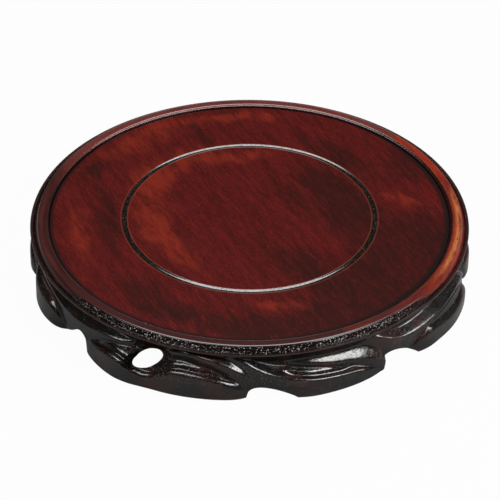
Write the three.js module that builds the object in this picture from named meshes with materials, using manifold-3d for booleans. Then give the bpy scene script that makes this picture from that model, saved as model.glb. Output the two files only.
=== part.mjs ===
// A low round display stand: a turned panel in a jointed, moulded rim, on a ring of carved apron blocks
// whose cloud-shaped feet are pierced and hollowed. Millimetres, +Z up, floor at z = 0, stand axis on Z.
import * as THREE from 'three';
import { mergeVertices } from 'three/addons/utils/BufferGeometryUtils.js';
import Module from 'manifold-3d';

const wasm = await Module();
wasm.setup();

// Driving dimensions.
const RIM_RADIUS = 110;
const FACE_HEIGHT = 27.5;
const RIM_LIP_HEIGHT = 1.4;
const FIT_GAP = 0.3;

// Radii and heights worked out from them.
const SHOULDER_RADIUS = RIM_RADIUS - 0.4;
const BEAD_RADIUS = RIM_RADIUS + 1.2;
const LIP_RADIUS = RIM_RADIUS * 0.938;
const WALL_RADIUS = RIM_RADIUS * 0.924;
const RIM_TOP = FACE_HEIGHT + RIM_LIP_HEIGHT;
const BEAD_BOTTOM = FACE_HEIGHT - 2.2;
const FRAME_BOTTOM = 18;
const FRAME_INNER_RADIUS = 95;
const REBATE_EDGE_HEIGHT = 25.1;
const REBATE_INNER_HEIGHT = 21.5;
const PANEL_BOTTOM = 20;
const GROOVE_RADIUS = RIM_RADIUS * 0.58;
const GROOVE_HALF_WIDTH = 1.3;
const GROOVE_DEPTH = 1.2;

const PANEL_RED = new THREE.MeshStandardMaterial({ color: 0x5a1f18, roughness: 0.28, metalness: 0 });
const RIM_RED = new THREE.MeshStandardMaterial({ color: 0x6b2a1c, roughness: 0.28, metalness: 0 });
const BLACK_LACQUER = new THREE.MeshStandardMaterial({ color: 0x17120f, roughness: 0.2, metalness: 0 });
const BARE_WOOD = new THREE.MeshStandardMaterial({ color: 0xa9794a, roughness: 0.7, metalness: 0 });

const toRadians = THREE.MathUtils.degToRad;
const HALF_TURNS = [{ side: 'front', turn: 0 }, { side: 'back', turn: 180 }];

const stand = new THREE.Group();

function addPiece(name, geometry, material) {
  const mesh = new THREE.Mesh(geometry, material);
  mesh.name = name;
  stand.add(mesh);
}

// A point at a radius and height, turned to an angle about the stand's axis.
function around(radius, height, degrees) {
  const angle = toRadians(degrees);
  return new THREE.Vector3(radius * Math.cos(angle), radius * Math.sin(angle), height);
}

// Skins a row of closed sections, each a list of points in the same order, and closes both ends.
function loft(sections) {
  const count = sections[0].length;
  const positions = sections.flat().flatMap((point) => [point.x, point.y, point.z]);
  const faces = [];
  for (let s = 0; s + 1 < sections.length; s += 1) {
    for (let i = 0; i < count; i += 1) {
      const next = (i + 1) % count;
      const a = s * count + i;
      const b = s * count + next;
      const c = (s + 1) * count + next;
      const d = (s + 1) * count + i;
      faces.push(a, c, b, a, d, c);
    }
  }
  const last = (sections.length - 1) * count;
  for (const [a, b, c] of THREE.ShapeUtils.triangulateShape(radialOutline(sections[0]), [])) {
    faces.push(a, b, c);
  }
  for (const [a, b, c] of THREE.ShapeUtils.triangulateShape(radialOutline(sections.at(-1)), [])) {
    faces.push(last + a, last + c, last + b);
  }
  const geometry = new THREE.BufferGeometry();
  geometry.setAttribute('position', new THREE.Float32BufferAttribute(positions, 3));
  geometry.setIndex(faces);
  return geometry;
}

// The radius and height of each point of a section, for the flat ends of a swept piece.
function radialOutline(section) {
  return section.map((point) => new THREE.Vector2(Math.hypot(point.x, point.y), point.z));
}

// Sweeps a profile of radius and height round the axis from one angle to another.
function sweep(profileAt, start, end, steps) {
  const sections = [];
  for (let s = 0; s <= steps; s += 1) {
    const degrees = start + ((end - start) * s) / steps;
    sections.push(profileAt(degrees).map((point) => around(point.x, point.y, degrees)));
  }
  return loft(sections);
}

function toSolid(geometry) {
  const bare = geometry.clone();
  bare.deleteAttribute('normal');
  bare.deleteAttribute('uv');
  const merged = mergeVertices(bare, 1e-4);
  const mesh = new wasm.Mesh({
    numProp: 3,
    vertProperties: new Float32Array(merged.attributes.position.array),
    triVerts: new Uint32Array(merged.index.array),
  });
  return new wasm.Manifold(mesh);
}

function cut(geometry, cutters) {
  let solid = toSolid(geometry);
  for (const cutter of cutters) {
    solid = solid.subtract(toSolid(cutter));
  }
  const mesh = solid.getMesh();
  const result = new THREE.BufferGeometry();
  result.setAttribute('position', new THREE.BufferAttribute(new Float32Array(mesh.vertProperties), 3));
  result.setIndex(new THREE.BufferAttribute(new Uint32Array(mesh.triVerts), 1));
  return result;
}

// Points along a round arc, angles in degrees.
function arc(centreX, centreY, radius, from, to, steps) {
  const points = [];
  for (let s = 0; s <= steps; s += 1) {
    const angle = toRadians(from + ((to - from) * s) / steps);
    points.push(new THREE.Vector2(centreX + radius * Math.cos(angle), centreY + radius * Math.sin(angle)));
  }
  return points;
}

// Panel: one turned board. Its face carries the ring groove, its underside is bevelled to a thin edge.
const PANEL_RADIUS = WALL_RADIUS - FIT_GAP;
const PANEL_EDGE_BOTTOM = REBATE_EDGE_HEIGHT + FIT_GAP;
const BEVEL_SLOPE = (REBATE_EDGE_HEIGHT - REBATE_INNER_HEIGHT) / (WALL_RADIUS - FRAME_INNER_RADIUS);
const BEVEL_START_RADIUS = PANEL_RADIUS - (PANEL_EDGE_BOTTOM - PANEL_BOTTOM) / BEVEL_SLOPE;
const PANEL_SEGMENTS = 72;

function panelGeometry() {
  const profile = [
    new THREE.Vector2(0, PANEL_BOTTOM),
    new THREE.Vector2(BEVEL_START_RADIUS, PANEL_BOTTOM),
    new THREE.Vector2(PANEL_RADIUS, PANEL_EDGE_BOTTOM),
    new THREE.Vector2(PANEL_RADIUS, FACE_HEIGHT),
    new THREE.Vector2(GROOVE_RADIUS + GROOVE_HALF_WIDTH, FACE_HEIGHT),
    new THREE.Vector2(GROOVE_RADIUS + GROOVE_HALF_WIDTH * 0.5, FACE_HEIGHT - GROOVE_DEPTH * 0.85),
    new THREE.Vector2(GROOVE_RADIUS, FACE_HEIGHT - GROOVE_DEPTH),
    new THREE.Vector2(GROOVE_RADIUS - GROOVE_HALF_WIDTH * 0.5, FACE_HEIGHT - GROOVE_DEPTH * 0.85),
    new THREE.Vector2(GROOVE_RADIUS - GROOVE_HALF_WIDTH, FACE_HEIGHT),
    new THREE.Vector2(0, FACE_HEIGHT),
  ];
  const geometry = new THREE.LatheGeometry(profile, PANEL_SEGMENTS);
  geometry.rotateX(Math.PI / 2);
  return geometry;
}

addPiece('panel', panelGeometry(), PANEL_RED);

// Loose tongues: a thin slip of wood across each rim joint, in a slot cut into both arc ends.
const TONGUE = { length: 14, width: 4.2, thickness: 1.6, radius: 99, height: 20.3 };

function tongueGeometry(degrees, clearance) {
  const grow = 2 * clearance;
  const geometry = new THREE.BoxGeometry(TONGUE.width + grow, TONGUE.length + grow, TONGUE.thickness + grow);
  geometry.translate(TONGUE.radius, 0, TONGUE.height);
  geometry.rotateZ(toRadians(degrees));
  return geometry;
}

// Dowels: one pin per apron block, up into the underside of the rim.
const DOWEL = { radius: 2, bottom: 11, top: 21.4, ring: 99, sides: 12 };
const DOWEL_ANGLES = { small: 204.5, pierced: 256, scooped: 288, long: 335, tail: 360 };

function dowelGeometry(degrees, clearance) {
  const length = DOWEL.top - DOWEL.bottom + 2 * clearance;
  const radius = DOWEL.radius + clearance;
  const geometry = new THREE.CylinderGeometry(radius, radius, length, DOWEL.sides);
  geometry.rotateX(Math.PI / 2);
  geometry.translate(DOWEL.ring, 0, (DOWEL.top + DOWEL.bottom) / 2);
  geometry.rotateZ(toRadians(degrees));
  return geometry;
}

// Rim: seven arcs jointed end to end. One moulding holds lip, land, round shoulder and bead, and below
// them the rebate that the panel lies in and the flaring back that the apron is fitted round.
const RIM_JOINTS = [42.5, 94, 145.5, 197, 249, 295, 348];
const SHOULDER_ROUND = 1.9;
const BEAD_ROUND = 0.9;
const BACK = { radius: 102.6, flareStart: 20.5, topRadius: 105.4 };
const JOINT_HALF_GAP = THREE.MathUtils.radToDeg(FIT_GAP / 2 / FRAME_INNER_RADIUS);
const ARC_STEPS = 8;

function rimProfile() {
  const quirkHeight = RIM_TOP - SHOULDER_ROUND;
  return [
    new THREE.Vector2(FRAME_INNER_RADIUS, FRAME_BOTTOM),
    new THREE.Vector2(BACK.radius, FRAME_BOTTOM),
    new THREE.Vector2(BACK.radius, BACK.flareStart),
    new THREE.Vector2(BACK.topRadius, BEAD_BOTTOM),
    ...arc(BEAD_RADIUS - BEAD_ROUND, BEAD_BOTTOM + BEAD_ROUND, BEAD_ROUND, -90, 60, 4),
    ...arc(SHOULDER_RADIUS - SHOULDER_ROUND, quirkHeight, SHOULDER_ROUND, 0, 90, 4),
    new THREE.Vector2(LIP_RADIUS + 0.4, RIM_TOP),
    new THREE.Vector2(LIP_RADIUS, RIM_TOP - 0.3),
    new THREE.Vector2(LIP_RADIUS - 0.8, FACE_HEIGHT + 0.4),
    new THREE.Vector2(WALL_RADIUS, FACE_HEIGHT + 0.1),
    new THREE.Vector2(WALL_RADIUS, REBATE_EDGE_HEIGHT),
    new THREE.Vector2(FRAME_INNER_RADIUS, REBATE_INNER_HEIGHT),
  ];
}

const dowelHoles = HALF_TURNS.flatMap(({ turn }) =>
  Object.values(DOWEL_ANGLES).map((degrees) => dowelGeometry(degrees + turn, FIT_GAP)));

RIM_JOINTS.forEach((start, index) => {
  const end = RIM_JOINTS[index + 1] ?? RIM_JOINTS[0] + 360;
  const geometry = sweep(rimProfile, start + JOINT_HALF_GAP, end - JOINT_HALF_GAP, ARC_STEPS);
  const slots = [tongueGeometry(start, FIT_GAP), tongueGeometry(end, FIT_GAP)];
  addPiece(`rim_arc_${index + 1}`, cut(geometry, [...slots, ...dowelHoles]), RIM_RED);
  addPiece(`rim_tongue_${index + 1}`, tongueGeometry(start, 0), BARE_WOOD);
});

// Apron: half a turn of carving, repeated once. Angles are in degrees round from the right-hand side.
// The carving is a hollow ground with raised ribs on it; a rib's crest is a line of points, each an angle,
// a height and a radius. Below its crest a rib falls away by `draft` mm per mm, above it the surface
// sinks back to the ground within about `reach` mm. A foot's `scoop` is where it is hollowed above the crest.
const RIBS = [
  {
    crest: [[190, 20, 106], [193.5, 15, 109.5], [198, 13, 112], [204, 12.3, 113], [209, 11, 112.2],
      [212.5, 7, 110.3], [215, 3, 108]],
    draft: -0.02,
    reach: 4.6,
    scoop: [194, 210],
  },
  {
    crest: [[186, 21.5, 106.5], [191, 20.5, 108.3], [199, 19.5, 109], [208, 18.3, 109.6], [216, 17, 110.3],
      [223, 16.8, 110.4], [230, 17.6, 110], [236, 18, 109.2], [239.5, 18, 106]],
    draft: 0.12,
    reach: 3.8,
  },
  {
    crest: [[223.6, 7, 109], [225.5, 8.8, 111], [229, 10.5, 113.2], [233, 12, 115], [236.5, 12.2, 116],
      [240, 9.6, 116], [243, 7.6, 115.3], [246, 8.2, 114.8], [249, 11.2, 114.7], [252.5, 13.6, 114.5],
      [257, 13, 114.1], [262, 11.3, 113.5], [266.5, 8, 112.5], [269.5, 4, 110.6], [271, 1, 108]],
    draft: -0.01,
    reach: 4.6,
    scoop: [226, 266],
  },
  {
    crest: [[248, 19, 106], [250.5, 21, 108.3], [254, 22, 108.8], [258.5, 21, 109.4], [263, 19, 110],
      [267, 15.8, 110.4], [270, 11.8, 110.4], [272, 7.5, 109.2], [273.5, 4, 107]],
    draft: 0.16,
    reach: 3.2,
  },
  {
    crest: [[264, 22.5, 106.3], [268.5, 20, 108.2], [272.5, 16, 109.8], [277, 12.6, 111], [281.5, 11, 112.4],
      [285.5, 10.6, 113.4], [290.5, 10.1, 113.3], [295.5, 9.4, 112.9], [299.5, 7.8, 112.3], [303, 4.8, 111.4],
      [306, 1.5, 110]],
    draft: -0.01,
    reach: 4.4,
    scoop: [279, 301],
  },
  {
    crest: [[280, 20, 106], [285, 18.2, 108.6], [291, 16.8, 109.7], [296.5, 15.2, 110.4], [301, 12.8, 111],
      [304.5, 9.5, 111.2], [306.6, 5.5, 110.4], [308, 2, 108]],
    draft: 0.1,
    reach: 3.8,
  },
  {
    crest: [[314.5, 8, 108], [317.5, 9.3, 111.6], [320.5, 9.8, 113.4], [325, 9.2, 114.2], [331, 8.6, 115],
      [337, 8.2, 114.7], [342.5, 7, 113.6], [346.5, 4.2, 112], [349, 1, 109.5]],
    draft: -0.01,
    reach: 4.2,
    scoop: [319, 345],
  },
  {
    crest: [[300.5, 22.5, 106.3], [304.5, 19.8, 108.2], [308.5, 16.5, 109.6], [313, 14.2, 110.4],
      [319, 13.6, 110.9], [326, 14, 111.1], [334, 14.4, 111], [341, 13.8, 110.8], [346, 11.4, 110.6],
      [349.5, 7.2, 110], [351.5, 3, 108]],
    draft: 0.12,
    reach: 4.4,
  },
  {
    crest: [[349, 8, 107], [352, 10.2, 110.8], [356, 10.8, 112.4], [361, 10.3, 112.6], [365.5, 7.6, 111.8],
      [368.5, 3.5, 110]],
    draft: -0.01,
    reach: 4.4,
    scoop: [352, 366],
  },
  {
    crest: [[342, 22, 106.3], [346.5, 19.6, 108.2], [351, 17.4, 109.4], [357, 16.8, 109.8], [363, 15.8, 110],
      [368, 12, 110], [371.5, 7, 109]],
    draft: 0.12,
    reach: 3.8,
  },
];

// The ground between the ribs: heights, each with its radius.
const GROUND = [[0, 105], [10, 104.8], [18, 105.2], [21.5, 106.4], [25, 108.2]];
const DEEPEST_RADIUS = 104.8;
const SCOOP = { rise: 5, spread: 2.4, depth: 1.6, fade: 3.5 };
const BLEND = 1.8;

// Between two feet the underside rises in an arch whose peak leans to one side.
const ARCHES = [
  { start: 210, end: 224.6, height: 9.6, peak: 0.8 },
  { start: 269.6, end: 282, height: 5.6, peak: 0.32 },
  { start: 306.4, end: 317.6, height: 7.6, peak: 0.28 },
  { start: 347.5, end: 351.5, height: 5, peak: 0.5 },
  { start: 368, end: 375.5, height: 8, peak: 0.5 },
];

// The angle that equals the given one in the half turn that starts at `first`.
function inHalfTurn(degrees, first) {
  return first + THREE.MathUtils.euclideanModulo(degrees - first, 180);
}

// The height, radius and steepness of a crest at an angle, on a smooth curve through its points.
function crestAt(crest, degrees) {
  const angle = inHalfTurn(degrees, crest[0][0]);
  const end = crest.findIndex((point) => point[0] > angle);
  if (end < 0) {
    return null;
  }
  const start = end - 1;
  const span = crest[end][0] - crest[start][0];
  const t = (angle - crest[start][0]) / span;
  const slope = (index, column) => {
    const before = crest[Math.max(index - 1, 0)];
    const after = crest[Math.min(index + 1, crest.length - 1)];
    return (after[column] - before[column]) / (after[0] - before[0]);
  };
  const climb = THREE.MathUtils.lerp(slope(start, 1), slope(end, 1), t) / toRadians(RIM_RADIUS);
  const value = (column) => (2 * t ** 3 - 3 * t ** 2 + 1) * crest[start][column]
    + (t ** 3 - 2 * t ** 2 + t) * span * slope(start, column)
    + (3 * t ** 2 - 2 * t ** 3) * crest[end][column]
    + (t ** 3 - t ** 2) * span * slope(end, column);
  return { height: value(1), radius: value(2), lean: 1 / Math.hypot(1, climb) };
}

function groundAt(height) {
  const end = Math.max(1, GROUND.findIndex((point) => point[0] >= height));
  const [low, high] = [GROUND[end - 1], GROUND[end]];
  return THREE.MathUtils.mapLinear(height, low[0], high[0], low[1], high[1]);
}

function smoothMax(a, b) {
  return (a + b + Math.hypot(a - b, BLEND)) / 2;
}

// The outer radius of the carving at an angle and a height.
function carvedRadius(degrees, height) {
  const ground = groundAt(height);
  let radius = ground;
  let dent = 0;
  for (const { crest, draft, reach, scoop } of RIBS) {
    const top = crestAt(crest, degrees);
    if (!top) {
      continue;
    }
    const above = (height - top.height) * top.lean;
    if (above > 0) {
      radius = smoothMax(radius, ground + (top.radius - ground) * Math.exp(-((above / reach) ** 2)));
    } else {
      radius = smoothMax(radius, top.radius + draft * above);
    }
    if (scoop) {
      const angle = inHalfTurn(degrees, scoop[0] - SCOOP.fade);
      const into = THREE.MathUtils.smoothstep(angle, scoop[0] - SCOOP.fade, scoop[0] + SCOOP.fade);
      const outOf = THREE.MathUtils.smoothstep(angle, scoop[1] - SCOOP.fade, scoop[1] + SCOOP.fade);
      dent += SCOOP.depth * (into - outOf) * Math.exp(-(((above - SCOOP.rise) / SCOOP.spread) ** 2));
    }
  }
  return Math.max(radius - dent, DEEPEST_RADIUS);
}

function archHeight(degrees) {
  for (const { start, end, height, peak } of ARCHES) {
    const along = (inHalfTurn(degrees, start) - start) / (end - start);
    if (along < 1) {
      return height * Math.sin(Math.PI * along ** (Math.log(0.5) / Math.log(peak))) ** 0.75;
    }
  }
  return 0;
}

const APRON_TOP = BEAD_BOTTOM - FIT_GAP;
const APRON_LEDGE = FRAME_BOTTOM - FIT_GAP;
const APRON_INNER_RADIUS = 96;
const BLUNT_EDGE = 0.8;
const TRACED_ROWS = 80;
const CARVED_ROWS = 12;
const DEGREES_PER_STEP = 1.6;

function apronProfile(degrees) {
  const bottom = archHeight(degrees);
  const profile = [
    new THREE.Vector2(BACK.topRadius + 1.2 * FIT_GAP, APRON_TOP),
    new THREE.Vector2(BACK.radius + FIT_GAP, BACK.flareStart - FIT_GAP),
    new THREE.Vector2(BACK.radius + FIT_GAP, APRON_LEDGE),
    new THREE.Vector2(APRON_INNER_RADIUS, APRON_LEDGE),
    new THREE.Vector2(APRON_INNER_RADIUS, bottom),
    new THREE.Vector2(carvedRadius(degrees, bottom) - BLUNT_EDGE, bottom),
  ];
  const traced = [];
  for (let row = 0; row <= TRACED_ROWS; row += 1) {
    const height = THREE.MathUtils.lerp(bottom + BLUNT_EDGE, APRON_TOP, row / TRACED_ROWS);
    traced.push(new THREE.Vector2(carvedRadius(degrees, height), height));
  }
  return [...profile, ...new THREE.Path(traced).getSpacedPoints(CARVED_ROWS)];
}

// The slanted oval opening that pierces the widest foot.
const PIERCING = { angle: 244, height: 13, length: 22, width: 11.5, lean: 43, depth: 40, segments: 10 };

function piercingGeometry(turn) {
  const outline = new THREE.Shape();
  outline.absellipse(0, 0, PIERCING.width / 2, PIERCING.length / 2, 0, 2 * Math.PI, false, 0);
  const settings = { depth: PIERCING.depth, bevelEnabled: false, curveSegments: PIERCING.segments };
  const geometry = new THREE.ExtrudeGeometry(outline, settings);
  geometry.translate(0, 0, -PIERCING.depth / 2);
  geometry.rotateZ(toRadians(-PIERCING.lean));
  geometry.rotateX(Math.PI / 2);
  geometry.rotateZ(Math.PI / 2);
  geometry.translate(RIM_RADIUS, 0, PIERCING.height);
  geometry.rotateZ(toRadians(PIERCING.angle + turn));
  return geometry;
}

// The blocks are butted end to end, each carrying one foot; their ends are angles.
const BLOCKS = {
  small: [191, 217],
  pierced: [217, 275.5],
  scooped: [275.5, 312],
  long: [312, 349],
  tail: [349, 371],
};

for (const { side, turn } of HALF_TURNS) {
  for (const [foot, ends] of Object.entries(BLOCKS)) {
    const start = ends[0] + turn + JOINT_HALF_GAP;
    const end = ends[1] + turn - JOINT_HALF_GAP;
    const geometry = sweep(apronProfile, start, end, Math.ceil((end - start) / DEGREES_PER_STEP));
    const cutters = [dowelGeometry(DOWEL_ANGLES[foot] + turn, FIT_GAP)];
    if (foot === 'pierced') {
      cutters.push(piercingGeometry(turn));
    }
    addPiece(`apron_${foot}_${side}`, cut(geometry, cutters), BLACK_LACQUER);
    addPiece(`dowel_${foot}_${side}`, dowelGeometry(DOWEL_ANGLES[foot] + turn, 0), BARE_WOOD);
  }
}

export default stand;
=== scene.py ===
import math

import bpy
import numpy as np
from mathutils import Matrix, Vector


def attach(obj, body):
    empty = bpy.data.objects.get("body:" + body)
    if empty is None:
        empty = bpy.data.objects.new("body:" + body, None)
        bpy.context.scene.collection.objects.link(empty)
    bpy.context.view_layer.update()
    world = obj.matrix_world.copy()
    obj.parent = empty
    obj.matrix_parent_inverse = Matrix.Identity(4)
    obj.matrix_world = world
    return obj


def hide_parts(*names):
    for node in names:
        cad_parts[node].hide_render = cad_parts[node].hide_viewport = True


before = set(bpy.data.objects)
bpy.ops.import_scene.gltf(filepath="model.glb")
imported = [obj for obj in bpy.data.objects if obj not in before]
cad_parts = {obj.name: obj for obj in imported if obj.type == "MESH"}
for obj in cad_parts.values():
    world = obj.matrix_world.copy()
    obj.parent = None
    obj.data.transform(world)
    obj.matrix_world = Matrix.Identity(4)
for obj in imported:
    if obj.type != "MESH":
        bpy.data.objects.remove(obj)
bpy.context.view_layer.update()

# Camera: a long lens looking down at the stand from the front, at the angle that turns the round rim into
# the photograph's ellipse. The middle of the display face lands a little above the middle of the picture.
FACE_HEIGHT = 0.0275
RIM_RADIUS = 0.110
PHOTO_SIZE = 500
PHOTO_FOCAL = 1991
FACE_CENTRE_PIXEL = (249.65, 214.85)
CAMERA_ELEVATION = math.radians(35.47)
CAMERA_ROLL = math.radians(0.41)
CAMERA_DISTANCE = 9.2 * RIM_RADIUS
SENSOR_WIDTH = 36


def add_object(name, data):
    made = bpy.data.objects.new(name, data)
    bpy.context.scene.collection.objects.link(made)
    return made


camera_data = bpy.data.cameras.new("camera")
camera_data.sensor_width = SENSOR_WIDTH
camera_data.lens = SENSOR_WIDTH * PHOTO_FOCAL / PHOTO_SIZE
camera = add_object("camera", camera_data)
bpy.context.scene.camera = camera

offset_right = (FACE_CENTRE_PIXEL[0] - PHOTO_SIZE / 2) / PHOTO_FOCAL
offset_down = (FACE_CENTRE_PIXEL[1] - PHOTO_SIZE / 2) / PHOTO_FOCAL
towards_camera = Vector((0, -math.cos(CAMERA_ELEVATION), math.sin(CAMERA_ELEVATION)))
camera_turn = (
    Matrix.Rotation(math.pi / 2 - CAMERA_ELEVATION, 4, "X")
    @ Matrix.Rotation(CAMERA_ROLL, 4, "Z")
    @ Matrix.Rotation(math.atan(offset_right), 4, "Y")
    @ Matrix.Rotation(math.atan(offset_down), 4, "X")
)
camera_place = Vector((0, 0, FACE_HEIGHT)) + towards_camera * CAMERA_DISTANCE
camera.matrix_world = Matrix.Translation(camera_place) @ camera_turn


# Studio: a white sweep that the stand rests on and a dim room, pale down by the horizon. A large soft box
# overhead draws the thin lights along the round edges; smaller ones in front light the carving's facets.
class Term:
    """One socket of a node graph; arithmetic on Terms adds Math nodes."""

    def __init__(self, graph, socket):
        self.graph = graph
        self.socket = socket

    def math(self, operation, *values):
        inputs = dict(enumerate(values))
        return self.graph.node("ShaderNodeMath", {"operation": operation}, inputs)

    def __add__(self, other):
        return self.math("ADD", self, other)

    __radd__ = __add__

    def __sub__(self, other):
        return self.math("SUBTRACT", self, other)

    def __rsub__(self, other):
        return self.math("SUBTRACT", other, self)

    def __mul__(self, other):
        return self.math("MULTIPLY", self, other)

    __rmul__ = __mul__

    def __truediv__(self, other):
        return self.math("DIVIDE", self, other)

    def __mod__(self, other):
        return self.math("FLOORED_MODULO", self, other)


class Graph:
    """A node tree under construction, with one method that makes every node."""

    def __init__(self, tree):
        self.tree = tree
        self.tree.nodes.clear()

    def node(self, kind, settings=None, inputs=None, output=0):
        made = self.tree.nodes.new(kind)
        for name, value in (settings or {}).items():
            if name == "stops":
                self.set_stops(made.color_ramp, value)
            else:
                setattr(made, name, value)
        for key, value in (inputs or {}).items():
            if isinstance(value, Term):
                self.tree.links.new(value.socket, made.inputs[key])
            else:
                made.inputs[key].default_value = value
        return Term(self, made.outputs[output] if made.outputs else None)

    def set_stops(self, ramp, stops):
        while len(ramp.elements) < len(stops):
            ramp.elements.new(0.5)
        for element, (position, colour) in zip(ramp.elements, stops):
            element.position = position
            element.color = colour


class Finish(Graph):
    """A surface's material."""

    def __init__(self, name):
        self.material = bpy.data.materials.new(name)
        self.material.use_nodes = True
        super().__init__(self.material.node_tree)

    def mix(self, factor, first, second):
        return self.node("ShaderNodeMix", {"data_type": "RGBA"}, {0: factor, 6: first, 7: second}, output=2)

    def place(self, turn=0.0, scale=(1, 1, 1)):
        coordinates = self.node("ShaderNodeTexCoord", output="Object")
        inputs = {"Vector": coordinates, "Rotation": (0, 0, turn), "Scale": scale}
        return self.node("ShaderNodeMapping", {"vector_type": "TEXTURE"}, inputs)

    def noise(self, vector, scale, detail, roughness, distortion=0.0, output=0):
        inputs = {"Vector": vector, "Scale": scale, "Detail": detail}
        inputs.update({"Roughness": roughness, "Distortion": distortion})
        return self.node("ShaderNodeTexNoise", {}, inputs, output=output)

    def bump(self, height, distance):
        return self.node("ShaderNodeBump", {}, {"Height": height, "Distance": distance, "Strength": 1.0})

    def surface(self, shader):
        self.node("ShaderNodeOutputMaterial", {}, {"Surface": shader})
        return self.material


def studio_floor():
    finish = Finish("white_sweep")
    seen = finish.node("ShaderNodeLightPath", output="Is Camera Ray")
    through = finish.node("ShaderNodeLightPath", output="Is Transmission Ray")
    paper = finish.node("ShaderNodeBsdfDiffuse", {}, {"Color": (0.24, 0.24, 0.24, 1)})
    glow = finish.node("ShaderNodeEmission", {}, {"Color": (1, 1, 1, 1), "Strength": 1.0})
    share = (seen + through) * 0.97
    lit = finish.node("ShaderNodeMixShader", {}, {0: share, 1: paper, 2: glow})
    half = 4.0
    corners = [(-half, -half, 0), (half, -half, 0), (half, half, 0), (-half, half, 0)]
    mesh = bpy.data.meshes.new("sweep")
    mesh.from_pydata(corners, [], [(0, 1, 2, 3)])
    mesh.materials.append(finish.surface(lit))
    add_object("sweep", mesh)


def soft_box(name, azimuth, elevation, distance, size, radiance):
    """An area lamp aimed at the stand; azimuth 0 is behind it, 90 to its right."""
    data = bpy.data.lights.new(name, "AREA")
    data.shape = "RECTANGLE"
    data.size, data.size_y = size
    data.energy = radiance * math.pi * size[0] * size[1]
    lamp = add_object(name, data)
    flat = math.cos(math.radians(elevation)) * distance
    across = math.sin(math.radians(azimuth)) * flat
    back = math.cos(math.radians(azimuth)) * flat
    place = Vector((across, back, math.sin(math.radians(elevation)) * distance))
    aim = (-place).to_track_quat("-Z", "Y").to_matrix().to_4x4()
    lamp.matrix_world = Matrix.Translation(place) @ aim


def room():
    world = bpy.data.worlds.new("room")
    world.use_nodes = True
    graph = Graph(world.node_tree)
    direction = graph.node("ShaderNodeTexCoord", output="Generated")
    up = graph.node("ShaderNodeSeparateXYZ", {}, {0: direction}, output="Z")
    greys = [(0, 0.4), (0.05, 0.35), (0.16, 0.035), (1, 0.03)]
    walls = [(level, (grey, grey, grey, 1)) for level, grey in greys]
    pale = graph.node("ShaderNodeValToRGB", {"stops": walls}, {0: up})
    seen = graph.node("ShaderNodeLightPath", output="Is Camera Ray")
    white = (1, 1, 1, 1)
    colour = graph.node("ShaderNodeMix", {"data_type": "RGBA"}, {0: seen, 6: pale, 7: white}, output=2)
    light = graph.node("ShaderNodeBackground", {}, {"Color": colour, "Strength": 1.0})
    graph.node("ShaderNodeOutputWorld", {}, {"Surface": light})
    bpy.context.scene.world = world


studio_floor()
soft_box("box_overhead", 2, 66, 1.2, (0.66, 0.6), 8.5)
soft_box("box_front_right", 126, 43, 1.2, (0.62, 0.36), 20.0)
soft_box("box_side_right", 92, 35, 1.2, (0.3, 0.34), 16.0)
soft_box("box_front_left", 236, 47, 1.2, (0.66, 0.26), 11.0)
soft_box("box_front", 204, 57, 1.2, (0.5, 0.28), 11.0)
soft_box("box_back", 0, 6, 1.6, (1.6, 0.2), 0.7)
room()
bpy.context.scene.view_settings.view_transform = "Standard"


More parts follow.
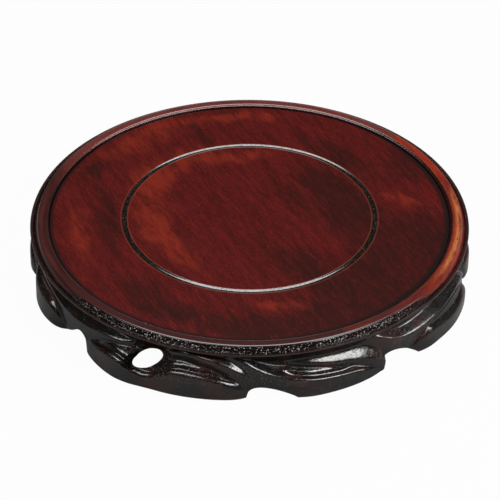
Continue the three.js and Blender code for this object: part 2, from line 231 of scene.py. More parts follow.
# Panel: one board of red-brown hardwood, turned flat with a ring groove and bevelled underneath to lie in
# the rim's rebate. Stained, with dark pores along the grain, and lacquered to a satin gloss.
def turned_tree():
    """Turns a flat profile, x its radius and y its height, about the stand's axis."""
    tree = bpy.data.node_groups.new("turned", "GeometryNodeTree")
    sockets = {
        "Profile": "NodeSocketGeometry",
        "First Angle": "NodeSocketFloat",
        "Sweep": "NodeSocketFloat",
        "Steps": "NodeSocketInt",
        "Full Turn": "NodeSocketBool",
        "Finish": "NodeSocketMaterial",
    }
    for name, kind in sockets.items():
        tree.interface.new_socket(name, in_out="INPUT", socket_type=kind)
    tree.interface.new_socket("Piece", in_out="OUTPUT", socket_type="NodeSocketGeometry")
    graph = Graph(tree)
    given = {name: graph.node("NodeGroupInput", output=name) for name in sockets}

    def turned_to(geometry, flat_point, angle):
        flat = graph.node("ShaderNodeSeparateXYZ", {}, {0: flat_point})
        radius, height = flat, Term(graph, flat.socket.node.outputs[1])
        upright = graph.node("ShaderNodeCombineXYZ", {}, {0: radius, 2: height})
        inputs = {"Vector": upright, "Angle": angle}
        rotated = graph.node("ShaderNodeVectorRotate", {"rotation_type": "Z_AXIS"}, inputs)
        return graph.node("GeometryNodeSetPosition", {}, {"Geometry": geometry, "Position": rotated})

    profile = given["Profile"]
    points = graph.node("GeometryNodeAttributeDomainSize", {}, {0: profile}, output="Point Count")
    columns = points + (1 - given["Full Turn"])
    rows = given["Steps"] + 1
    grid = graph.node("GeometryNodeMeshGrid", {}, {"Vertices X": rows, "Vertices Y": columns})
    index = graph.node("GeometryNodeInputIndex")
    column = index % columns
    row = (index - column) / columns
    position = graph.node("GeometryNodeInputPosition")
    sampled = graph.node(
        "GeometryNodeSampleIndex",
        {"data_type": "FLOAT_VECTOR"},
        {"Geometry": profile, "Value": position, "Index": column % points},
    )
    angle = given["First Angle"] + given["Sweep"] * row / given["Steps"]
    skin = turned_to(grid, sampled, angle)

    outline = graph.node("GeometryNodeMeshToCurve", {}, {0: profile})
    end = graph.node("GeometryNodeFillCurve", {"mode": "NGONS"}, {0: outline})
    flipped = graph.node("GeometryNodeFlipFaces", {}, {0: end})
    first_end = turned_to(end, position, given["First Angle"])
    last_end = turned_to(flipped, position, given["First Angle"] + given["Sweep"])
    ends = graph.node("GeometryNodeJoinGeometry", {}, {0: first_end})
    graph.tree.links.new(last_end.socket, ends.socket.node.inputs[0])
    wanted = graph.node(
        "GeometryNodeSwitch", {"input_type": "GEOMETRY"}, {"Switch": given["Full Turn"], "False": ends}
    )
    whole = graph.node("GeometryNodeJoinGeometry", {}, {0: skin})
    graph.tree.links.new(wanted.socket, whole.socket.node.inputs[0])
    merged = graph.node("GeometryNodeMergeByDistance", {}, {"Geometry": whole, "Distance": 1e-6})
    smooth = graph.node("GeometryNodeSetShadeSmooth", {}, {"Geometry": merged})
    real = graph.node("GeometryNodeRealizeInstances", {}, {0: smooth})
    finished = graph.node("GeometryNodeSetMaterial", {}, {"Geometry": real, "Material": given["Finish"]})
    graph.node("NodeGroupOutput", {}, {0: finished})
    return tree


TURNED = turned_tree()


def apply_modifier(piece, modifier):
    evaluated = piece.evaluated_get(bpy.context.evaluated_depsgraph_get())
    mesh = bpy.data.meshes.new_from_object(evaluated)
    piece.modifiers.remove(modifier)
    piece.data = mesh


def turned_piece(name, profile, finish, first_degrees=0, sweep_degrees=360, steps=180):
    full = sweep_degrees == 360
    outline = bpy.data.meshes.new(name)
    corners = [(radius, height, 0) for radius, height in profile]
    edges = [(i, i + 1) for i in range(len(corners) - 1)]
    if not full:
        edges.append((len(corners) - 1, 0))
    outline.from_pydata(corners, edges, [])
    piece = add_object(name, outline)
    modifier = piece.modifiers.new("turned", "NODES")
    modifier.node_group = TURNED
    values = {
        "First Angle": math.radians(first_degrees),
        "Sweep": math.radians(sweep_degrees),
        "Steps": steps,
        "Full Turn": full,
        "Finish": finish,
    }
    for socket in TURNED.interface.items_tree:
        if socket.name in values:
            modifier[socket.identifier] = values[socket.name]
    apply_modifier(piece, modifier)
    piece.data.set_sharp_from_angle(angle=math.radians(50))
    return piece


def rounded(centre_radius, centre_height, size, first, last, steps):
    """Points of a round part of a profile; angles in degrees, 0 outwards and 90 up."""
    turns = np.radians(np.linspace(first, last, steps + 1))
    return [(centre_radius + size * math.cos(t), centre_height + size * math.sin(t)) for t in turns]


class Wood(Finish):
    """Stained hardwood: its grain runs straight at an angle, or bent round the stand about one."""

    def __init__(self, name, grain_degrees, bent=False, seed=0.0):
        super().__init__(name)
        self.flat = self.place()
        along = self.place(turn=math.radians(grain_degrees))
        if bent:
            split = self.node("ShaderNodeSeparateXYZ", {}, {0: along})
            x, y, z = [Term(self, socket) for socket in split.socket.node.outputs]
            run = self.node("ShaderNodeMath", {"operation": "ARCTAN2"}, {0: y, 1: x}) * RIM_RADIUS
            along = self.node("ShaderNodeCombineXYZ", {}, {0: run, 1: self.radius(), 2: z})
        start = (seed, seed / 3, 0)
        self.along = self.node("ShaderNodeVectorMath", {"operation": "ADD"}, {0: along, 1: start})
        self.streaks = self.noise(self.stretched(7), 380, 4, 0.65, 0.3)
        self.strokes = self.noise(self.stretched(9), 1700, 3, 0.8)
        self.pores = self.noise(self.stretched(7), 2300, 2, 0.7)
        self.mottle = self.noise(self.flat, 1000, 3, 0.7)
        drift = self.noise(self.stretched(2.5), 90, 4, 0.65, output="Color")
        middle = (0.5, 0.5, 0.5)
        centred = self.node("ShaderNodeVectorMath", {"operation": "SUBTRACT"}, {0: drift, 1: middle})
        moved = self.node("ShaderNodeVectorMath", {"operation": "SCALE"}, {0: centred, "Scale": 0.022})
        self.wandering = self.node("ShaderNodeVectorMath", {"operation": "ADD"}, {0: self.flat, 1: moved})

    def stretched(self, times):
        shorter = (1 / times, 1, 1)
        return self.node("ShaderNodeVectorMath", {"operation": "MULTIPLY"}, {0: self.along, 1: shorter})

    def radius(self):
        across = self.node("ShaderNodeVectorMath", {"operation": "MULTIPLY"}, {0: self.flat, 1: (1, 1, 0)})
        return self.node("ShaderNodeVectorMath", {"operation": "LENGTH"}, {0: across}, output="Value")

    def part(self, vector, axis):
        return self.node("ShaderNodeSeparateXYZ", {}, {0: vector}, output=axis)

    def distance_from(self, value, middle):
        return self.node("ShaderNodeMath", {"operation": "ABSOLUTE"}, {0: value - middle})

    def fade(self, value, zero_at, one_at):
        inputs = {"Value": value, "From Min": zero_at, "From Max": one_at}
        return self.node("ShaderNodeMapRange", {"interpolation_type": "SMOOTHSTEP"}, inputs)

    def patch(self, x, y, length, width, lean_degrees):
        """A soft-edged patch of the figure, centre and half sizes in millimetres."""
        inputs = {"Vector": self.wandering, "Location": (x / 1000, y / 1000, 0)}
        inputs["Rotation"] = (0, 0, math.radians(lean_degrees))
        inputs["Scale"] = (length / 1000, width / 1000, 1)
        local = self.node("ShaderNodeMapping", {"vector_type": "TEXTURE"}, inputs)
        flat = self.node("ShaderNodeVectorMath", {"operation": "MULTIPLY"}, {0: local, 1: (1, 1, 0)})
        away = self.node("ShaderNodeVectorMath", {"operation": "LENGTH"}, {0: flat}, output="Value")
        return self.fade(away, 1.5, 0.1)


PANEL_RADIUS = 0.1015
PANEL_BOTTOM = 0.020
PANEL_EDGE_BOTTOM = 0.0254
PANEL_BEVEL_START = 0.0915
GROOVE_RADIUS = 0.0637
# Outer half of the groove's section in millimetres, as distance from its middle and depth.
GROOVE_OUTER_HALF = [(1.5, 0), (1.4, 0.015), (1.3, 0.04), (1.1, 0.1), (0.8, 0.18), (0.5, 0.25), (0.2, 0.31)]
GROOVE_DEPTH = 0.33
EDGE_ROUND = 0.0004
PANEL_GRAIN = -63


def panel_profile():
    inner_half = [(-across, depth) for across, depth in reversed(GROOVE_OUTER_HALF)]
    section = GROOVE_OUTER_HALF + [(0, GROOVE_DEPTH)] + inner_half
    groove = [(GROOVE_RADIUS + across / 1000, FACE_HEIGHT - depth / 1000) for across, depth in section]
    edge = rounded(PANEL_RADIUS - EDGE_ROUND, FACE_HEIGHT - EDGE_ROUND, EDGE_ROUND, 0, 90, 4)
    underside = [(0, PANEL_BOTTOM), (PANEL_BEVEL_START, PANEL_BOTTOM), (PANEL_RADIUS, PANEL_EDGE_BOTTOM)]
    face = [(radius, FACE_HEIGHT) for radius in (0.1009, 0.1, 0.08, 0.0658, 0.0654)]
    middle = [(radius, FACE_HEIGHT) for radius in (0.062, 0.0616, 0.04, 0)]
    return underside + edge + face + groove + middle


# Patches of the board's figure, in millimetres and degrees: middle to the right and away, half length, half
# width, lean.
WARM_PATCHES = [
    (-50, 8, 40, 12, 95), (-38, 46, 30, 12, 45), (-38, -28, 30, 7, -55), (-58, 70, 34, 11, 45),
    (80, 13, 14, 4, -35), (16, -75, 20, 4, -12), (-86, -12, 34, 6, -78), (-6, 53, 22, 6, 5),
    (-10, 90, 40, 5, 8),
]
DARK_PATCHES = [
    (-73, -4, 40, 7, 100), (-48, -66, 20, 10, -50), (-27, 74, 22, 6, -62), (48, 54, 32, 10, -38),
    (88, -10, 24, 14, -70), (66, -60, 38, 22, 50), (22, 16, 30, 6, -58), (-78, 42, 16, 6, 60),
    (10, -95, 34, 4, 0), (82, 46, 22, 7, -58), (48, -2, 32, 10, -75), (24, -40, 26, 12, -50),
    (42, -80, 30, 10, 25), (80, -34, 26, 14, -70), (40, 26, 30, 8, -50), (62, -52, 58, 30, 35),
    (54, 8, 46, 18, -62), (-20, -84, 40, 8, -14), (20, -92, 50, 8, 4),
]


def panel_lacquer():
    wood = Wood("panel_lacquer", PANEL_GRAIN)
    brown = (0.027, 0.0029, 0.0026, 1)
    red = (0.055, 0.0044, 0.004, 1)
    ember = (0.155, 0.016, 0.0065, 1)
    shade = (0.016, 0.0036, 0.003, 1)
    rosy = (0.12, 0.014, 0.013, 1)
    open_pore = (0.008, 0.0045, 0.004, 1)
    groove_edge_pale = (0.26, 0.06, 0.025, 1)
    rim_shadow = (0.006, 0.004, 0.0035, 1)
    groove_black = (0.003, 0.0022, 0.002, 1)
    groove_dust = (0.06, 0.038, 0.028, 1)

    warmth = 0.0
    for patch in WARM_PATCHES:
        warmth = wood.patch(*patch) + warmth
    gloom = 0.0
    for patch in DARK_PATCHES:
        gloom = wood.patch(*patch) + gloom
    grain = wood.streaks * 0.6 + wood.mottle * 0.4
    clouds = wood.fade(wood.noise(wood.stretched(3), 150, 4, 0.7), 0.38, 0.62)
    speckle = wood.fade(wood.noise(wood.flat, 2000, 1, 0.5), 0.5, 0.66)
    warmth = wood.fade(warmth * (grain + clouds * 0.7 - 0.05), 0.0, 1.3)
    gloom = wood.fade(gloom * (1.6 - wood.streaks - wood.mottle * 0.5), 0.0, 1.1)
    colour = wood.mix(wood.fade(grain, 0.38, 0.62), brown, red)
    colour = wood.mix(warmth * 0.55, colour, ember)
    colour = wood.mix(speckle * 0.3, colour, rosy)
    colour = wood.mix(gloom * (0.96 - wood.fade(grain, 0.44, 0.6) * 0.3), colour, shade)
    colour = wood.mix(wood.fade(wood.strokes, 0.5, 0.4) * 0.3, colour, shade)
    colour = wood.mix(wood.fade(wood.strokes, 0.52, 0.64) * 0.12, colour, ember)
    colour = wood.mix(wood.fade(wood.pores, 0.44, 0.34) * 0.35, colour, open_pore)

    ragged = wood.noise(wood.flat, 900, 3, 0.6) - 0.5
    off_groove = wood.distance_from(wood.radius(), GROOVE_RADIUS)
    in_groove = wood.fade(off_groove + ragged * 0.0006, 0.00145, 0.0012)
    away = wood.fade(wood.part(wood.flat, "Y"), 0.03, 0.09)
    right = wood.fade(wood.part(wood.flat, "X"), 0.03, 0.08)
    shaded_radius = wood.radius() + ragged * 0.001 + right * 0.001 - away * 0.0014
    # A thin pale red line is painted along both edges of the groove.
    colour = wood.mix(wood.fade(off_groove, 0.0023, 0.0014) * 0.2, colour, groove_edge_pale)
    colour = wood.mix(wood.fade(shaded_radius, 0.0986, 0.101) * 0.9, colour, rim_shadow)
    colour = wood.mix(in_groove, colour, groove_black)
    grit = wood.noise(wood.flat, 1050, 2, 0.7)
    colour = wood.mix(in_groove * wood.fade(grit, 0.56, 0.66) * 0.7, colour, groove_dust)
    lacquered = in_groove * (1 - wood.fade(grit, 0.52, 0.6) * 0.9)

    relief = wood.pores * 0.006 + wood.strokes * 0.004
    inputs = {"Base Color": colour, "Roughness": 0.11 + wood.strokes * 0.05}
    inputs.update({"Normal": wood.bump(relief, 0.001), "Specular IOR Level": 0.33})
    inputs.update({"Coat Weight": lacquered * 0.6, "Coat IOR": 1.6, "Coat Roughness": 0.05})
    return wood.surface(wood.node("ShaderNodeBsdfPrincipled", {}, inputs))


panel = turned_piece("panel_board", panel_profile(), panel_lacquer())
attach(panel, "root")
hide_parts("panel")


# Rim: seven arcs of the same wood, sawn and moulded to one section and glued end to end round the panel:
# a lip, a flat land, a round shoulder and a bead. Each arc took the stain and lacquer in its own way.
RIM_TOP = FACE_HEIGHT + 0.0014
LIP_RADIUS = RIM_RADIUS * 0.938 + 0.0004
WALL_RADIUS = RIM_RADIUS * 0.924
SHOULDER_START = RIM_RADIUS * 0.967
BEAD_RADIUS = RIM_RADIUS + 0.0012
BEAD_BOTTOM = FACE_HEIGHT - 0.0022
BEAD_ROUND = 0.00075
FRAME_BOTTOM = 0.018
FRAME_INNER_RADIUS = 0.095
REBATE_EDGE_HEIGHT = 0.0251
REBATE_INNER_HEIGHT = 0.0215
BACK_RADIUS = 0.1026
BACK_FLARE_START = 0.0205
BACK_TOP_RADIUS = 0.1054
RIM_JOINTS = [42.5, 94, 145.5, 197, 249, 295, 348]
GLUE_LINE_DEGREES = 0.02
LAND_MIDDLE = 0.1058
# Downward tilt in degrees and length in millimetres of each facet that the moulding plane leaves.
SHOULDER_FACETS = [
    (2, 0.1), (8, 0.2), (14, 0.3), (20, 0.2), (34, 0.06), (47, 0.1), (52, 0.6), (56, 0.8), (60, 0.9),
    (66, 0.8), (74, 0.5),
]
LIP_FACETS = (
    [(4, 0.1)] + [(tilt, 0.11) for tilt in range(9, 23, 2)] + [(45, 0.06), (80, 0.3), (45, 0.06)]
    + [(tilt, 0.08) for tilt in range(22, 8, -2)] + [(4, 0.1)]
)


def moulded_facets(start, facets, way):
    """Points of a run of facets falling from the rim's top; way is 1 outwards and -1 inwards."""
    points = [start]
    for tilt, run in facets:
        radius, height = points[-1]
        turned = math.radians(tilt)
        points.append((radius + way * math.cos(turned) * run / 1000, height - math.sin(turned) * run / 1000))
    return points


def rim_profile():
    bead = rounded(BEAD_RADIUS - BEAD_ROUND, BEAD_BOTTOM + BEAD_ROUND, BEAD_ROUND, -90, 45, 12)
    shoulder = moulded_facets((SHOULDER_START, RIM_TOP), SHOULDER_FACETS, 1)
    shoulder.reverse()
    lip = moulded_facets((LIP_RADIUS, RIM_TOP), LIP_FACETS, -1)
    inside = [(WALL_RADIUS, lip[-1][1]), (WALL_RADIUS, REBATE_EDGE_HEIGHT)]
    inside.append((FRAME_INNER_RADIUS, REBATE_INNER_HEIGHT))
    back = [
        (FRAME_INNER_RADIUS, FRAME_BOTTOM),
        (BACK_RADIUS, FRAME_BOTTOM),
        (BACK_RADIUS, BACK_FLARE_START),
        (BACK_TOP_RADIUS, BEAD_BOTTOM),
    ]
    return back + bead + shoulder + lip + inside


def rim_lacquer(name, middle_degrees, tones, seed):
    wood = Wood(name, middle_degrees, bent=True, seed=seed)
    black = (0.0028, 0.002, 0.0018, 1)
    umber = (0.02, 0.009, 0.0078, 1)
    front_shade_brown = (0.03, 0.0085, 0.008, 1)
    glint_pale = (0.5, 0.45, 0.42, 1)

    forward = wood.part(wood.wandering, "Y")
    tone = wood.mix(wood.fade(wood.streaks, 0.35, 0.65), tones["dark"], tones["light"])
    tone = wood.mix(wood.fade(forward, 0.02, 0.06) * wood.fade(wood.streaks, 0.2, 0.6), tone, tones["far"])
    off_middle = wood.distance_from(wood.radius(), LAND_MIDDLE) + (wood.streaks - 0.5) * 0.003
    gilt = wood.fade(forward, 0.03, 0.005) * wood.fade(forward, -0.06, -0.04)
    gilt = gilt * wood.fade(off_middle, 0.0022, 0.0004) * wood.fade(wood.strokes + wood.streaks, 0.75, 1.15)
    # Painted shade: towards the front, the rim's colour is mostly a darker brown.
    front_shade_tone = wood.mix(0.75, tone, front_shade_brown)
    colour = wood.mix(wood.fade(forward, -0.078, -0.045), front_shade_tone, wood.mix(gilt, tone, tones["gold"]))

    radius = wood.radius() + (wood.noise(wood.flat, 1100, 3, 0.65) - 0.5) * 0.0009
    # The outer shoulder is coloured black all round. Towards the front the black starts further in and covers
    # the whole shoulder: painted shade on the side that faces away from the lamps.
    black_from = 0.1066 + wood.fade(forward, -0.09, -0.05) * 0.0022
    moulded = wood.fade(radius - black_from, -0.0003, 0.0004)
    on_bead = wood.fade(wood.part(wood.flat, "Z"), 0.0268, 0.0264) * wood.fade(radius, 0.1096, 0.1103)
    right = wood.fade(wood.part(wood.flat, "X"), 0.03, 0.08)
    # The cove below the lip is coloured black: dark lacquer gathered there, plus painted shadow that widens
    # it on the right side.
    cove_black_and_shadow = wood.fade(radius - right * 0.0009, 0.1023, 0.1019)
    colour = wood.mix(moulded * 0.94, colour, black)
    colour = wood.mix(on_bead * 0.92, colour, umber)
    colour = wood.mix(cove_black_and_shadow * 0.95, colour, black)
    colour = wood.mix(wood.fade(wood.pores, 0.42, 0.3) * 0.5, colour, black)

    grit = wood.noise(wood.flat, 1550, 1, 0.5)
    grains = wood.fade(grit, 0.62, 0.67)
    scuffed = moulded * wood.fade(radius, 0.1071, 0.1077) * (1 - on_bead)
    # Painted glints: pale specks on the shoulder, only on its front side.
    front_glint_specks = scuffed * wood.fade(forward, -0.055, -0.095) * wood.fade(radius, 0.1096, 0.1084)
    colour = wood.mix(grains * front_glint_specks * 0.85, colour, glint_pale)
    relief = grains * scuffed * 0.4 + grit * (cove_black_and_shadow * 0.05 + 0.01) + wood.pores * 0.004
    inputs = {"Base Color": colour, "Roughness": 0.09 + wood.strokes * 0.06 + on_bead * 0.12}
    inputs.update({"Specular IOR Level": 0.42, "Normal": wood.bump(relief, 0.001)})
    return wood.surface(wood.node("ShaderNodeBsdfPrincipled", {}, inputs))


DARK_RED = {
    "dark": (0.016, 0.0045, 0.004, 1),
    "light": (0.027, 0.0068, 0.006, 1),
    "gold": (0.044, 0.011, 0.0095, 1),
    "far": (0.085, 0.019, 0.015, 1),
}
RED = {
    "dark": (0.045, 0.0105, 0.009, 1),
    "light": (0.085, 0.019, 0.015, 1),
    "gold": (0.12, 0.03, 0.02, 1),
    "far": (0.085, 0.019, 0.015, 1),
}
ORANGE = {
    "dark": (0.07, 0.0095, 0.007, 1),
    "light": (0.155, 0.0155, 0.007, 1),
    "gold": (0.26, 0.085, 0.028, 1),
    "far": (0.155, 0.0155, 0.007, 1),
}
RIM_TONES = [RED, RED, DARK_RED, DARK_RED, DARK_RED, ORANGE, ORANGE]
for number, (start, tones) in enumerate(zip(RIM_JOINTS, RIM_TONES), start=1):
    end = RIM_JOINTS[number] if number < len(RIM_JOINTS) else RIM_JOINTS[0] + 360
    lacquer = rim_lacquer(f"rim_lacquer_{number}", (start + end) / 2, tones, 0.31 * number)
    first = start + GLUE_LINE_DEGREES
    sweep = end - start - 2 * GLUE_LINE_DEGREES
    arc = turned_piece(f"rim_length_{number}", rim_profile(), lacquer, first, sweep, 60)
    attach(arc, "root")
    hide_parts(f"rim_arc_{number}")


# Apron: ten blocks butted end to end under the bead, carved after gluing into one run of cloud-shaped feet,
# each a swelling foot with a hollow above it and a ribbon that sweeps down into the next. Black lacquer.
APRON_TOP = 0.025
APRON_LEDGE = 0.0177
APRON_INNER_RADIUS = 0.096
REBATE_RADIUS = 0.1029
REBATE_TOP_RADIUS = 0.1058
REBATE_FLARE_START = 0.0202
GROUND_HEIGHTS = [0, 10, 18, 21.5, 25]
GROUND_RADII = [105, 104.8, 105.2, 106.4, 108.2]
DEEPEST = 104.8
FOOT_ROUND = 0.9
BUTT_GAP_DEGREES = 0.01
DEGREES_PER_COLUMN = 0.25
TRACED_ROWS = 800
CARVED_ROWS = 120
RIB_BLEND = 0.6
BEVEL_BLEND = 0.4
HOLLOW_BEHIND = 3.3
HOLLOW_SPREAD = 1.15
ARCH_FULLNESS = 0.75
NO_BEVEL = -9
# Each rib's crest goes through points of angle, height and radius, in degrees and millimetres. Above it the
# ledge slopes back, below it the front has a draft, and a scoop (from, to, depth) sinks a hollow behind it.
# A bevel planes that many millimetres off the crest; NO_BEVEL passes it well clear.
RIBS = [
    dict(
        crest=[(190, 20, 106), (193.5, 15, 109.5), (198, 13, 112), (204, 12.3, 113), (209, 11, 112.2),
               (212.5, 7, 110.3), (215, 3, 108)],
        draft=-0.02, ledge=28, blunt=1.2, bevel=0.6, scoop=(194, 205, 0.8),
    ),
    dict(
        crest=[(186, 21.5, 106.5), (191, 20.5, 108.3), (199, 19.5, 109), (208, 18.3, 109.6), (216, 17, 110.3),
               (223, 16.8, 110.4), (230, 17.6, 110), (236, 18, 109.2), (239.5, 18, 106)],
        draft=0.12, ledge=28, blunt=1.2, bevel=NO_BEVEL, scoop=None,
    ),
    dict(
        crest=[(223.6, 7, 109), (225.5, 8.8, 111), (229, 10.5, 113.2), (233, 12, 115), (236.5, 12.2, 116),
               (240, 9.6, 116), (243, 7.6, 115.3), (246, 8.2, 114.8), (249, 11.2, 114.7),
               (252.5, 13.6, 114.5), (257, 13, 114.1), (262, 11.3, 113.5), (266.5, 8, 112.5),
               (269.5, 4, 110.6), (271, 1, 108)],
        draft=-0.01, ledge=25, blunt=1.2, bevel=1.0, scoop=(226, 267, 1.3),
    ),
    dict(
        crest=[(248, 19, 106), (250.5, 21, 108.3), (254, 22, 108.8), (258.5, 21, 109.4), (263, 19, 110),
               (267, 15.8, 110.4), (270, 11.8, 110.4), (272, 7.5, 109.2), (273.5, 4, 107)],
        draft=0.16, ledge=28, blunt=1.2, bevel=NO_BEVEL, scoop=None,
    ),
    dict(
        crest=[(264, 22.5, 106.3), (268.5, 20, 108.2), (272.5, 16, 109.8), (277, 12.8, 111),
               (281.5, 11.2, 112.4), (285.5, 10.2, 113.4), (290.5, 9.3, 113.3), (295.5, 8.5, 112.9),
               (299.5, 7, 112.3), (303, 4.4, 111.4), (306, 1.5, 110)],
        draft=-0.01, ledge=22, blunt=1.2, bevel=0.3, scoop=(279.5, 296, 1.4),
    ),
    dict(
        crest=[(280, 17, 105.6), (285, 15.4, 107), (291, 14, 108.2), (296.5, 12.9, 109.2), (301, 11.4, 110.4),
               (304.5, 8.8, 111), (306.6, 5.3, 110.4), (308, 2, 108)],
        draft=0.1, ledge=44, blunt=0.7, bevel=NO_BEVEL, scoop=None,
    ),
    dict(
        crest=[(312.5, 1, 107.5), (315, 4.4, 110), (318, 8, 112.2), (321, 9.8, 113.6), (325, 9.2, 114.2),
               (331, 8.2, 115), (337, 7.6, 114.7), (342.5, 6.2, 113.6), (346.5, 3.8, 112), (349, 1, 109.5)],
        draft=-0.01, ledge=36, blunt=1.0, bevel=0.9, scoop=(322, 345, 1.2),
    ),
    dict(
        crest=[(300.5, 22, 105), (304.5, 19.8, 107.6), (308.5, 16.5, 109.6), (313, 14.2, 110.4),
               (319, 13.6, 110.9), (326, 14, 111.1), (334, 14.4, 111), (341, 13.8, 110.8), (346, 11.4, 110.6),
               (349.5, 7.2, 110), (351.5, 3, 108)],
        draft=0.12, ledge=30, blunt=1.0, bevel=NO_BEVEL, scoop=None,
    ),
    dict(
        crest=[(349, 8, 107), (352, 10.2, 110.8), (356, 10.8, 112.4), (361, 10.3, 112.6), (365.5, 7.6, 111.8),
               (368.5, 3.5, 110)],
        draft=-0.01, ledge=28, blunt=1.2, bevel=0.4, scoop=(352, 366, 1.0),
    ),
    dict(
        crest=[(342, 22, 106.3), (346.5, 19.6, 108.2), (351, 17.4, 109.4), (357, 16.8, 109.8),
               (363, 15.8, 110), (368, 12, 110), (371.5, 7, 109)],
        draft=0.12, ledge=28, blunt=1.1, bevel=NO_BEVEL, scoop=None,
    ),
]
ARCHES = [
    dict(start=210, end=224.6, height=9.6, peak=0.8),
    dict(start=269.6, end=282, height=5.6, peak=0.32),
    dict(start=306.4, end=317.6, height=7.6, peak=0.28),
    dict(start=347.5, end=351.5, height=5, peak=0.5),
    dict(start=368, end=375.5, height=8, peak=0.5),
]
PIERCING = dict(
    angle=243, radius=110, height=13.4, half_length=9.5, half_width=4.4, lean=68, slope=37, turn=15,
)
# How the opening flares: millimetres out from its middle, how much wider, how far its middle shifts.
PIERCING_RINGS = [
    (-30, 1, 0), (-3, 1, 0), (-1, 1.05, 0.4), (1, 1.14, 1.2), (3, 1.28, 2.3), (5, 1.46, 3.8), (14, 2.4, 11),
]
PIERCING_SIDES = 72


def in_half_turn(degrees, first):
    return first + np.mod(degrees - first, 180)


def follow(crest, degrees):
    """Height, radius and lean of a crest line, on a smooth curve through its points, and where it runs."""
    angles, heights, radii = np.array(crest, float).T
    angle = in_half_turn(degrees, angles[0])
    inside = angle <= angles[-1]
    angle = np.minimum(angle, angles[-1])
    end = np.clip(np.searchsorted(angles, angle, side="right"), 1, len(angles) - 1)
    start = end - 1
    span = angles[end] - angles[start]
    t = (angle - angles[start]) / span
    before = np.maximum(np.arange(len(angles)) - 1, 0)
    after = np.minimum(np.arange(len(angles)) + 1, len(angles) - 1)

    def curve(values):
        slope = (values[after] - values[before]) / (angles[after] - angles[before])
        return (
            (2 * t**3 - 3 * t**2 + 1) * values[start]
            + (t**3 - 2 * t**2 + t) * span * slope[start]
            + (3 * t**2 - 2 * t**3) * values[end]
            + (t**3 - t**2) * span * slope[end]
        ), slope[start] * (1 - t) + slope[end] * t

    height, climb = curve(heights)
    radius, _ = curve(radii)
    millimetres_per_degree = math.radians(RIM_RADIUS * 1000)
    lean = 1 / np.hypot(1, climb / millimetres_per_degree)
    return height, radius, lean, inside


def smooth_step(values, low, high):
    t = np.clip((values - low) / (high - low), 0, 1)
    return t * t * (3 - 2 * t)


def soft_least(first, second, soft):
    return (first + second - np.hypot(first - second, soft)) / 2


def soft_most(first, second, soft):
    return (first + second + np.hypot(first - second, soft)) / 2


def carved_radius(degrees, heights):
    ground = np.interp(heights, GROUND_HEIGHTS, GROUND_RADII)
    radius = ground.copy()
    hollows = []
    sunk = np.zeros_like(radius)
    for rib in RIBS:
        crest_height, crest_radius, lean, inside = follow(rib["crest"], degrees)
        above = (heights - crest_height) * lean
        ledge = crest_radius - above / math.tan(math.radians(rib["ledge"]))
        front = crest_radius + rib["draft"] * above
        bevel = crest_radius - above - rib["bevel"]
        body = soft_least(soft_least(ledge, front, rib["blunt"]), bevel, BEVEL_BLEND)
        radius = np.where(inside, soft_most(radius, body, RIB_BLEND), radius)
        if rib["scoop"]:
            low, high, depth = rib["scoop"]
            angle = in_half_turn(degrees, low - 2.5)
            window = smooth_step(angle, low - 2, low + 2) - smooth_step(angle, high - 2, high + 2)
            hollows.append((crest_radius, above, depth * window * inside))
    for crest_radius, above, depth in hollows:
        off_hollow = (crest_radius - radius - HOLLOW_BEHIND) / HOLLOW_SPREAD
        near = smooth_step(above, -0.2, 0.3) * (1 - smooth_step(above, 1.5, 3.5))
        sunk = np.maximum(sunk, depth * near * np.exp(-(off_hollow**2)))
    return np.maximum(radius, DEEPEST), sunk


def arch_height(degrees):
    heights = np.zeros_like(degrees)
    for arch in ARCHES:
        along = (in_half_turn(degrees, arch["start"]) - arch["start"]) / (arch["end"] - arch["start"])
        leaning = np.clip(along, 0, 1) ** (math.log(0.5) / math.log(arch["peak"]))
        heights += arch["height"] * np.abs(np.sin(math.pi * leaning)) ** ARCH_FULLNESS
    return heights


def evenly_spaced(radii, heights, rows):
    """The same upright lines, each with its points spread evenly along it."""
    run = np.hypot(np.diff(radii, axis=1), np.diff(heights, axis=1)).cumsum(axis=1)
    run = np.concatenate([np.zeros((len(radii), 1)), run], axis=1)
    even = np.linspace(0, 1, rows)
    return [
        np.array([np.interp(even * far[-1], far, line) for far, line in zip(run, values)])
        for values in (radii, heights)
    ]


def carved_front(degrees, bottom):
    """Radius and height of the carved face's points, with the foot's lower edge rounded off."""
    lift = (APRON_TOP * 1000 - bottom) * np.linspace(0, 1, TRACED_ROWS)[None, :]
    heights = bottom + lift
    radii, sunk = carved_radius(np.broadcast_to(degrees, heights.shape), heights)
    rise = np.minimum(lift, FOOT_ROUND)
    radii = radii - FOOT_ROUND + np.sqrt(FOOT_ROUND**2 - (FOOT_ROUND - rise) ** 2)
    heights = heights - sunk * smooth_step(lift, 1, 4)
    return evenly_spaced(radii, heights, CARVED_ROWS)


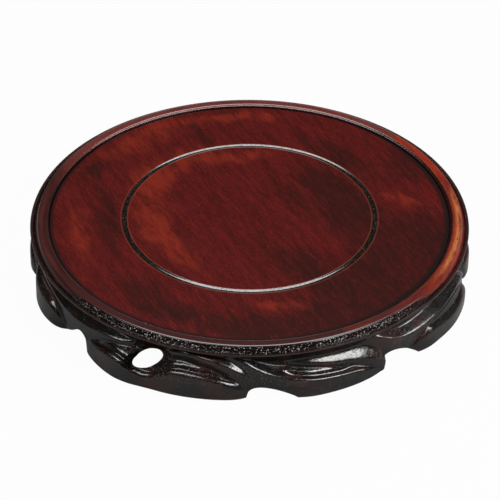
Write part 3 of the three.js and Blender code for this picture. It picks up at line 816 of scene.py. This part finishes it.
def apron_block(name, start, end, finish):
    columns = int(round((end - start) / DEGREES_PER_COLUMN)) + 1
    degrees = np.linspace(start, end, columns)[:, None]
    bottom = arch_height(degrees)
    front_radii, front_heights = carved_front(degrees, bottom)
    back = [
        (REBATE_TOP_RADIUS, APRON_TOP),
        (REBATE_RADIUS, REBATE_FLARE_START),
        (REBATE_RADIUS, APRON_LEDGE),
        (APRON_INNER_RADIUS, APRON_LEDGE),
    ]
    back_radii = [np.full((columns, 1), radius * 1000) for radius, _ in back]
    back_heights = [np.full((columns, 1), height * 1000) for _, height in back]
    foot_radii = np.full((columns, 1), APRON_INNER_RADIUS * 1000)
    radii = np.concatenate(back_radii + [foot_radii, front_radii], axis=1)
    heights = np.concatenate(back_heights + [bottom, front_heights], axis=1)
    turn = np.radians(degrees)
    points = np.stack([radii * np.cos(turn), radii * np.sin(turn), heights], axis=-1) / 1000
    count = radii.shape[1]
    faces = []
    for s in range(columns - 1):
        for i in range(count):
            j = (i + 1) % count
            faces.append((s * count + i, (s + 1) * count + i, (s + 1) * count + j, s * count + j))
    faces.append(tuple(range(count)))
    faces.append(tuple((columns - 1) * count + i for i in reversed(range(count))))
    mesh = bpy.data.meshes.new(name)
    mesh.from_pydata(points.reshape(-1, 3).tolist(), [], faces)
    mesh.materials.append(finish)
    mesh.shade_smooth()
    mesh.set_sharp_from_angle(angle=math.radians(45))
    return add_object(name, mesh)


def pierce(block, turn):
    """Cuts the slanted oval opening through a block, downwards as it goes in."""
    around = np.linspace(0, 2 * math.pi, PIERCING_SIDES, endpoint=False)
    lean = math.radians(PIERCING["lean"])
    across = PIERCING["half_width"] * np.cos(around)
    along = PIERCING["half_length"] * np.sin(around)
    sideways = across * math.cos(lean) + along * math.sin(lean)
    upwards = along * math.cos(lean) - across * math.sin(lean)
    slope = math.radians(PIERCING["slope"])
    heading = math.radians(PIERCING["turn"])
    level = Vector((math.cos(heading), math.sin(heading), 0))
    outwards = level * math.cos(slope) + Vector((0, 0, math.sin(slope)))
    tangent = Vector((-math.sin(heading), math.cos(heading), 0))
    upright = outwards.cross(tangent)
    middle = Vector((PIERCING["radius"], 0, PIERCING["height"]))
    corners = [
        (middle + outwards * depth - tangent * shift + (tangent * s + upright * u) * flare) / 1000
        for depth, flare, shift in PIERCING_RINGS
        for s, u in zip(sideways, upwards)
    ]
    faces = []
    last = (len(PIERCING_RINGS) - 1) * PIERCING_SIDES
    for low in range(0, last, PIERCING_SIDES):
        high = low + PIERCING_SIDES
        for i in range(PIERCING_SIDES):
            j = (i + 1) % PIERCING_SIDES
            faces.append((low + i, low + j, high + j, high + i))
    faces.append(tuple(reversed(range(PIERCING_SIDES))))
    faces.append(tuple(range(last, last + PIERCING_SIDES)))
    mesh = bpy.data.meshes.new("cutter")
    mesh.from_pydata(corners, [], faces)
    mesh.transform(Matrix.Rotation(math.radians(PIERCING["angle"] + turn), 4, "Z"))
    cutter = add_object("cutter", mesh)
    modifier = block.modifiers.new("pierce", "BOOLEAN")
    modifier.operation = "DIFFERENCE"
    modifier.solver = "EXACT"
    modifier.object = cutter
    apply_modifier(block, modifier)
    bpy.data.objects.remove(cutter)


def black_lacquer():
    wood = Wood("black_lacquer", 0, bent=True)
    dabs = wood.noise(wood.flat, 420, 4, 0.65, 0.4)
    grit = wood.noise(wood.flat, 1500, 3, 0.7)
    rubbed = wood.fade(wood.noise(wood.flat, 75, 4, 0.65), 0.47, 0.62)
    thick_black = (0.0025, 0.0021, 0.002, 1)
    thin_black = (0.007, 0.0046, 0.004, 1)
    rubbed_red = (0.024, 0.0078, 0.0058, 1)
    glint_specks_pale = (0.3, 0.27, 0.25, 1)
    colour = wood.mix(wood.fade(dabs, 0.35, 0.65), thick_black, thin_black)
    colour = wood.mix(rubbed * wood.fade(wood.streaks, 0.35, 0.6), colour, rubbed_red)
    grains = wood.fade(grit, 0.58, 0.66)
    specked = wood.fade(wood.noise(wood.flat, 60, 3, 0.6), 0.45, 0.58)
    above_feet = wood.fade(wood.part(wood.flat, "Z"), 0.006, 0.011)
    # Painted glints: pale specks on the carving above the feet's lower faces.
    colour = wood.mix(grains * specked * above_feet * 0.35, colour, glint_specks_pale)
    relief = wood.noise(wood.flat, 150, 3, 0.5) * 0.08 + dabs * 0.08 + grains * (specked * 0.2 + 0.02)
    inputs = {"Base Color": colour, "Roughness": 0.1 + dabs * 0.08, "Specular IOR Level": 0.5}
    inputs["Normal"] = wood.bump(relief, 0.001)
    return wood.surface(wood.node("ShaderNodeBsdfPrincipled", {}, inputs))


BLOCKS = {
    "small": (191, 217),
    "pierced": (217, 275.5),
    "scooped": (275.5, 312),
    "long": (312, 349),
    "tail": (349, 371),
}
black = black_lacquer()
for side, turn in (("front", 0), ("back", 180)):
    for foot, (start, end) in BLOCKS.items():
        first = start + turn + BUTT_GAP_DEGREES
        last = end + turn - BUTT_GAP_DEGREES
        block = apron_block(f"carved_{foot}_{side}", first, last, black)
        if foot == "pierced":
            pierce(block, turn)
        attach(block, "root")
        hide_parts(f"apron_{foot}_{side}")


# Tongues and dowels: plain hardwood slips across the rim's joints and pins between apron and rim, all glued
# in out of sight.
def bare_wood():
    finish = Finish("bare_wood")
    pale = (0.3, 0.17, 0.08, 1)
    brown = (0.16, 0.08, 0.035, 1)
    fibres = finish.noise(finish.place(scale=(1, 1, 8)), 600, 4, 0.6)
    colour = finish.mix(fibres, pale, brown)
    inputs = {"Base Color": colour, "Roughness": 0.65, "Normal": finish.bump(fibres, 0.0001)}
    return finish.surface(finish.node("ShaderNodeBsdfPrincipled", {}, inputs))


plain = bare_wood()
for name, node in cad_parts.items():
    if name.startswith(("dowel", "rim_tongue")):
        node.data.materials.clear()
        node.data.materials.append(plain)
